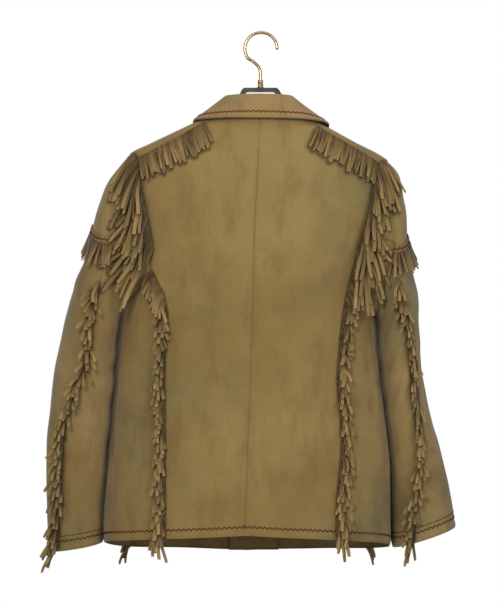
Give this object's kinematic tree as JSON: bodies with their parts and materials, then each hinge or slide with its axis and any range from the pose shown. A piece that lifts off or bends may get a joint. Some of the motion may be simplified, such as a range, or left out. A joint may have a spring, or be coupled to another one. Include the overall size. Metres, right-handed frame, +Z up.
{
  "type": "deerskin jacket on a hanger",
  "caption": "Deerskin jacket with fringed seams hanging closed on a plain hanger, its sleeves and body open at the cuffs and hem.",
  "frame": {"origin": "where a rail bears inside the top of the hanger's hook", "axes": "+Z up, the back of the jacket towards +Y, the wearer's left towards +X"},
  "size_m": [0.6713, 0.194, 0.866],
  "materials": {
    "deerskin": "soft nap, tan with greenish and brown shading",
    "fringe": "cut strands, a little lighter than the body",
    "facing": "grain side, smooth",
    "brass": "polished wire",
    "hanger": "dark brown, satin",
    "button": "plain, dark brown"
  },
  "bodies": {
    "root": {"hanger_hook": "brass", "hanger_bar": "hanger", "back_left": "deerskin", "back_right": "deerskin", "side_left": "deerskin", "side_right": "deerskin", "front_left": "deerskin", "front_right": "deerskin", "front_facing": "facing", "collar": "deerskin", "sleeve_left_top": "deerskin", "sleeve_left_under": "deerskin", "sleeve_right_top": "deerskin", "sleeve_right_under": "deerskin", "shoulder_fringe_left": "fringe", "shoulder_fringe_right": "fringe", "armhole_fringe_left": "fringe", "armhole_fringe_right": "fringe", "arm_band_left": "fringe", "arm_band_right": "fringe", "side_back_fringe_left": "fringe", "side_back_fringe_right": "fringe", "sleeve_fringe_left": "fringe", "sleeve_fringe_right": "fringe", "side_front_fringe_left": "fringe", "side_front_fringe_right": "fringe", "button_1": "button", "button_2": "button", "button_3": "button", "button_4": "button", "button_5": "button"}
  },
  "joints": []
}
